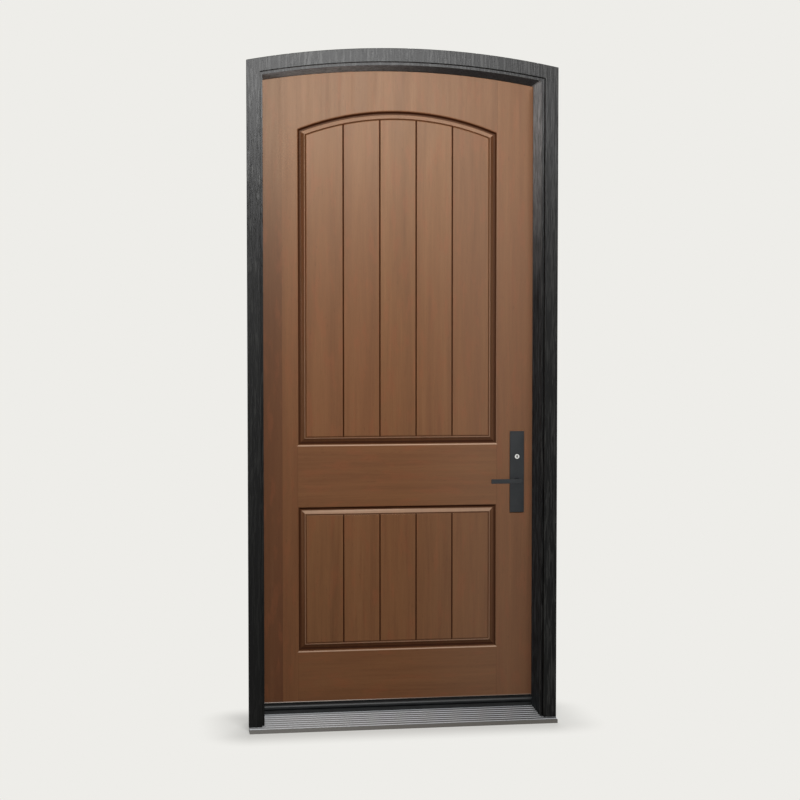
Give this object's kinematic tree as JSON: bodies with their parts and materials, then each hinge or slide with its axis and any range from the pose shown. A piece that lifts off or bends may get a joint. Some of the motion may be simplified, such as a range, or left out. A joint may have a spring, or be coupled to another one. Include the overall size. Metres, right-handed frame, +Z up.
{
  "type": "arched entry door",
  "caption": "Arched inswing entry door with plank panels, hung on butt hinges in a black frame with a sill, lever handle set and multipoint lock.",
  "frame": {"origin": "on the underside of the sill, below the middle of the casing's front face", "axes": "+X along the sill to the lock side, +Y from outdoors to indoors, +Z up"},
  "size_m": [1.1682, 0.2988, 2.5294],
  "materials": {
    "black_frame": "satin black paint over embossed grain",
    "stained_skin": "moulded fibreglass, stained like wood, satin",
    "foam": "rigid insulating foam",
    "lumber": "plain laminated lumber",
    "sill_composite": "black composite",
    "mill_aluminium": "mill finish, ribbed",
    "black_seal": "matt",
    "dark_bronze": "satin",
    "plated_steel": "zinc plated",
    "bright_nickel": "satin nickel"
  },
  "bodies": {
    "frame": {"hinge_jamb": "black_frame", "strike_jamb": "black_frame", "head_jamb": "black_frame", "hinge_side_casing": "black_frame", "strike_side_casing": "black_frame", "head_casing": "black_frame", "sill_base": "sill_composite", "sill_deck": "mill_aluminium", "sill_riser": "sill_composite", "threshold_cap": "sill_composite", "threshold_screws": "plated_steel", "hinge_side_seal": "black_seal", "strike_side_seal": "black_seal", "head_seal": "black_seal", "centre_strike": "plated_steel", "upper_strike": "plated_steel", "lower_strike": "plated_steel", "strike_screws": "plated_steel", "jamb_leaf_screws": "dark_bronze", "jamb_hinge_leaf_1": "dark_bronze", "jamb_hinge_leaf_2": "dark_bronze", "jamb_hinge_leaf_3": "dark_bronze", "jamb_hinge_leaf_4": "dark_bronze"},
    "door": {"exterior_skin": "stained_skin", "interior_skin": "stained_skin", "foam_core": "foam", "hinge_stile": "lumber", "lock_stile": "lumber", "top_rail": "lumber", "bottom_rail": "lumber", "door_leaf_screws": "dark_bronze", "bottom_sweep": "black_seal", "lock_case": "plated_steel", "upper_bolt_case": "plated_steel", "lower_bolt_case": "plated_steel", "lock_faceplate": "plated_steel", "faceplate_screws": "plated_steel", "exterior_escutcheon": "dark_bronze", "interior_escutcheon": "dark_bronze", "escutcheon_bolts": "dark_bronze", "cylinder_body": "bright_nickel", "door_hinge_leaf_1": "dark_bronze", "door_hinge_leaf_2": "dark_bronze", "door_hinge_leaf_3": "dark_bronze", "door_hinge_leaf_4": "dark_bronze", "hinge_pin_1": "dark_bronze", "hinge_pin_2": "dark_bronze", "hinge_pin_3": "dark_bronze", "hinge_pin_4": "dark_bronze"},
    "lever": {"exterior_lever": "dark_bronze", "interior_lever": "dark_bronze", "spindle": "plated_steel"},
    "latch": {"latch_bolt": "bright_nickel"},
    "bolts": {"deadbolt": "bright_nickel", "upper_tongue_bolt": "bright_nickel", "lower_tongue_bolt": "bright_nickel"},
    "thumbturn": {"thumbturn": "dark_bronze"},
    "key_plug": {"key_plug": "bright_nickel"}
  },
  "joints": [
    {"name": "door_hinge", "type": "hinge", "parent": "frame", "child": "door", "pos_m": [-0.535, 0.2176, 1.2], "axis": [0, 0, 1], "range_deg": [0, 170]},
    {"name": "lever_turn", "type": "hinge", "parent": "door", "child": "lever", "pos_m": [0.4645, 0.18655, 0.909], "axis": [0, -1, 0], "range_deg": [0, 45], "stiffness_Nm_per_rad": 2, "springref_deg": -28.65},
    {"name": "latch_slide", "type": "slide", "parent": "door", "child": "latch", "axis": [-1, 0, 0], "range_m": [0, 0.012]},
    {"name": "thumbturn_turn", "type": "hinge", "parent": "door", "child": "thumbturn", "pos_m": [0.4645, 0.23, 1.001], "axis": [0, -1, 0], "range_deg": [0, 90]},
    {"name": "bolts_slide", "type": "slide", "parent": "door", "child": "bolts", "axis": [1, 0, 0], "range_m": [0, 0.019]},
    {"name": "key_plug_turn", "type": "hinge", "parent": "door", "child": "key_plug", "pos_m": [0.4645, 0.16, 1.001], "axis": [0, -1, 0], "range_deg": [0, 90]}
  ],
  "couplings": [
    {"joint": "latch_slide", "follows": "lever_turn", "m_per_rad": 0.01527},
    {"joint": "thumbturn_turn", "follows": "bolts_slide", "rad_per_m": 82.673},
    {"joint": "key_plug_turn", "follows": "bolts_slide", "rad_per_m": 82.673}
  ]
}
